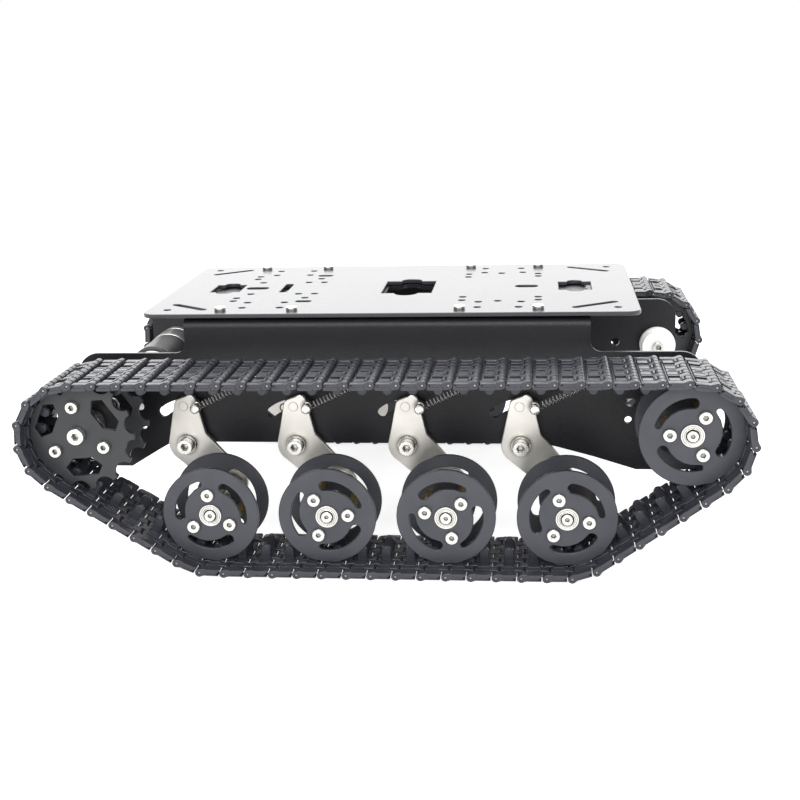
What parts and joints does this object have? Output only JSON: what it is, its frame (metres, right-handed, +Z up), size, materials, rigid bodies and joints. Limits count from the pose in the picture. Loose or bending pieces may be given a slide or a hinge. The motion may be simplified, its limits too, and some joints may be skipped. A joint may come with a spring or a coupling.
{
  "type": "tracked robot chassis",
  "caption": "Tracked chassis of a folded sheet hull and slotted deck on two link tracks, with drive sprockets, idlers and sprung road wheels on swing arms.",
  "frame": {"origin": "on the ground under the middle of the chassis", "axes": "+X along the hull towards the idlers, +Y to the left track, +Z up"},
  "size_m": [0.3196, 0.235, 0.1075],
  "materials": {
    "anodised": "black anodised",
    "arm_steel": "satin stainless plate",
    "deck_coat": "smooth black coat with a broad sheen",
    "fastener_steel": "bright plated steel",
    "gearbox_metal": "plated steel",
    "motor_can": "black motor can",
    "powder_coat": "fine black powder coat",
    "spring_steel": "dark spring wire",
    "toothed_steel": "black finish on laser-cut plate",
    "track_plastic": "dark slate moulded plastic",
    "white_nylon": "turned white nylon"
  },
  "bodies": {
    "chassis": {"hull_channel": "powder_coat", "deck_plate": "deck_coat", "track_right": "track_plastic", "gearbox_right": "gearbox_metal", "motor_can_right": "motor_can", "idler_axle_right": "fastener_steel", "idler_bush_right": "white_nylon", "pivot_bolt_right_1": "fastener_steel", "pivot_bolt_right_2": "fastener_steel", "pivot_bolt_right_3": "fastener_steel", "pivot_bolt_right_4": "fastener_steel", "tension_spring_right_1": "spring_steel", "tension_spring_right_2": "spring_steel", "tension_spring_right_3": "spring_steel", "tension_spring_right_4": "spring_steel", "track_left": "track_plastic", "gearbox_left": "gearbox_metal", "motor_can_left": "motor_can", "idler_axle_left": "fastener_steel", "idler_bush_left": "white_nylon", "pivot_bolt_left_1": "fastener_steel", "pivot_bolt_left_2": "fastener_steel", "pivot_bolt_left_3": "fastener_steel", "pivot_bolt_left_4": "fastener_steel", "tension_spring_left_1": "spring_steel", "tension_spring_left_2": "spring_steel", "tension_spring_left_3": "spring_steel", "tension_spring_left_4": "spring_steel"},
    "sprocket_right": {"sprocket_outer_plate_right": "toothed_steel", "sprocket_inner_plate_right": "toothed_steel", "sprocket_hub_right": "fastener_steel"},
    "idler_right": {"idler_wheel_right": "anodised"},
    "arm_right_1": {"swing_arm_right_1": "arm_steel", "wheel_axle_right_1": "fastener_steel"},
    "wheel_right_1": {"road_wheel_right_1": "anodised"},
    "arm_right_2": {"swing_arm_right_2": "arm_steel", "wheel_axle_right_2": "fastener_steel"},
    "wheel_right_2": {"road_wheel_right_2": "anodised"},
    "arm_right_3": {"swing_arm_right_3": "arm_steel", "wheel_axle_right_3": "fastener_steel"},
    "wheel_right_3": {"road_wheel_right_3": "anodised"},
    "arm_right_4": {"swing_arm_right_4": "arm_steel", "wheel_axle_right_4": "fastener_steel"},
    "wheel_right_4": {"road_wheel_right_4": "anodised"},
    "sprocket_left": {"sprocket_outer_plate_left": "toothed_steel", "sprocket_inner_plate_left": "toothed_steel", "sprocket_hub_left": "fastener_steel"},
    "idler_left": {"idler_wheel_left": "toothed_steel"},
    "arm_left_1": {"swing_arm_left_1": "arm_steel", "wheel_axle_left_1": "fastener_steel"},
    "wheel_left_1": {"road_wheel_left_1": "anodised"},
    "arm_left_2": {"swing_arm_left_2": "arm_steel", "wheel_axle_left_2": "fastener_steel"},
    "wheel_left_2": {"road_wheel_left_2": "anodised"},
    "arm_left_3": {"swing_arm_left_3": "arm_steel", "wheel_axle_left_3": "fastener_steel"},
    "wheel_left_3": {"road_wheel_left_3": "anodised"},
    "arm_left_4": {"swing_arm_left_4": "arm_steel", "wheel_axle_left_4": "fastener_steel"},
    "wheel_left_4": {"road_wheel_left_4": "anodised"}
  },
  "joints": [
    {"name": "sprocket_right_spin", "type": "hinge", "parent": "chassis", "child": "sprocket_right", "pos_m": [-0.1333, -0.0955, 0.0632], "axis": [0, 1, 0], "continuous": true},
    {"name": "idler_right_spin", "type": "hinge", "parent": "chassis", "child": "idler_right", "pos_m": [0.1333, -0.0955, 0.0639], "axis": [0, 1, 0], "continuous": true},
    {"name": "arm_right_1_swing", "type": "hinge", "parent": "chassis", "child": "arm_right_1", "pos_m": [-0.0965, -0.0635, 0.0454], "axis": [0, -1, 0], "range_deg": [0, 35], "stiffness_Nm_per_rad": 0.4, "springref_deg": -28.65, "deforming": ["tension_spring_right_1"]},
    {"name": "wheel_right_1_spin", "type": "hinge", "parent": "arm_right_1", "child": "wheel_right_1", "pos_m": [-0.076, -0.0955, 0.0259], "axis": [0, 1, 0], "continuous": true},
    {"name": "arm_right_2_swing", "type": "hinge", "parent": "chassis", "child": "arm_right_2", "pos_m": [-0.044, -0.0635, 0.0454], "axis": [0, -1, 0], "range_deg": [0, 35], "stiffness_Nm_per_rad": 0.4, "springref_deg": -28.65, "deforming": ["tension_spring_right_2"]},
    {"name": "wheel_right_2_spin", "type": "hinge", "parent": "arm_right_2", "child": "wheel_right_2", "pos_m": [-0.0235, -0.0955, 0.0259], "axis": [0, 1, 0], "continuous": true},
    {"name": "arm_right_3_swing", "type": "hinge", "parent": "chassis", "child": "arm_right_3", "pos_m": [0.0085, -0.0635, 0.0454], "axis": [0, -1, 0], "range_deg": [0, 35], "stiffness_Nm_per_rad": 0.4, "springref_deg": -28.65, "deforming": ["tension_spring_right_3"]},
    {"name": "wheel_right_3_spin", "type": "hinge", "parent": "arm_right_3", "child": "wheel_right_3", "pos_m": [0.029, -0.0955, 0.0259], "axis": [0, 1, 0], "continuous": true},
    {"name": "arm_right_4_swing", "type": "hinge", "parent": "chassis", "child": "arm_right_4", "pos_m": [0.061, -0.0635, 0.0454], "axis": [0, -1, 0], "range_deg": [0, 35], "stiffness_Nm_per_rad": 0.4, "springref_deg": -28.65, "deforming": ["tension_spring_right_4"]},
    {"name": "wheel_right_4_spin", "type": "hinge", "parent": "arm_right_4", "child": "wheel_right_4", "pos_m": [0.0815, -0.0955, 0.0259], "axis": [0, 1, 0], "continuous": true},
    {"name": "sprocket_left_spin", "type": "hinge", "parent": "chassis", "child": "sprocket_left", "pos_m": [-0.1333, 0.0955, 0.0632], "axis": [0, 1, 0], "continuous": true},
    {"name": "idler_left_spin", "type": "hinge", "parent": "chassis", "child": "idler_left", "pos_m": [0.1333, 0.0955, 0.0639], "axis": [0, 1, 0], "continuous": true},
    {"name": "arm_left_1_swing", "type": "hinge", "parent": "chassis", "child": "arm_left_1", "pos_m": [-0.0965, 0.0635, 0.0454], "axis": [0, -1, 0], "range_deg": [0, 35], "stiffness_Nm_per_rad": 0.4, "springref_deg": -28.65, "deforming": ["tension_spring_left_1"]},
    {"name": "wheel_left_1_spin", "type": "hinge", "parent": "arm_left_1", "child": "wheel_left_1", "pos_m": [-0.076, 0.0955, 0.0259], "axis": [0, 1, 0], "continuous": true},
    {"name": "arm_left_2_swing", "type": "hinge", "parent": "chassis", "child": "arm_left_2", "pos_m": [-0.044, 0.0635, 0.0454], "axis": [0, -1, 0], "range_deg": [0, 35], "stiffness_Nm_per_rad": 0.4, "springref_deg": -28.65, "deforming": ["tension_spring_left_2"]},
    {"name": "wheel_left_2_spin", "type": "hinge", "parent": "arm_left_2", "child": "wheel_left_2", "pos_m": [-0.0235, 0.0955, 0.0259], "axis": [0, 1, 0], "continuous": true},
    {"name": "arm_left_3_swing", "type": "hinge", "parent": "chassis", "child": "arm_left_3", "pos_m": [0.0085, 0.0635, 0.0454], "axis": [0, -1, 0], "range_deg": [0, 35], "stiffness_Nm_per_rad": 0.4, "springref_deg": -28.65, "deforming": ["tension_spring_left_3"]},
    {"name": "wheel_left_3_spin", "type": "hinge", "parent": "arm_left_3", "child": "wheel_left_3", "pos_m": [0.029, 0.0955, 0.0259], "axis": [0, 1, 0], "continuous": true},
    {"name": "arm_left_4_swing", "type": "hinge", "parent": "chassis", "child": "arm_left_4", "pos_m": [0.061, 0.0635, 0.0454], "axis": [0, -1, 0], "range_deg": [0, 35], "stiffness_Nm_per_rad": 0.4, "springref_deg": -28.65, "deforming": ["tension_spring_left_4"]},
    {"name": "wheel_left_4_spin", "type": "hinge", "parent": "arm_left_4", "child": "wheel_left_4", "pos_m": [0.0815, 0.0955, 0.0259], "axis": [0, 1, 0], "continuous": true}
  ],
  "couplings": [
    {"joint": "idler_right_spin", "follows": "sprocket_right_spin", "ratio": 1.1026},
    {"joint": "wheel_right_1_spin", "follows": "sprocket_right_spin", "ratio": 1.1364},
    {"joint": "wheel_right_2_spin", "follows": "sprocket_right_spin", "ratio": 1.1364},
    {"joint": "wheel_right_3_spin", "follows": "sprocket_right_spin", "ratio": 1.1364},
    {"joint": "wheel_right_4_spin", "follows": "sprocket_right_spin", "ratio": 1.1364},
    {"joint": "idler_left_spin", "follows": "sprocket_left_spin", "ratio": 1},
    {"joint": "wheel_left_1_spin", "follows": "sprocket_left_spin", "ratio": 1.1364},
    {"joint": "wheel_left_2_spin", "follows": "sprocket_left_spin", "ratio": 1.1364},
    {"joint": "wheel_left_3_spin", "follows": "sprocket_left_spin", "ratio": 1.1364},
    {"joint": "wheel_left_4_spin", "follows": "sprocket_left_spin", "ratio": 1.1364}
  ]
}
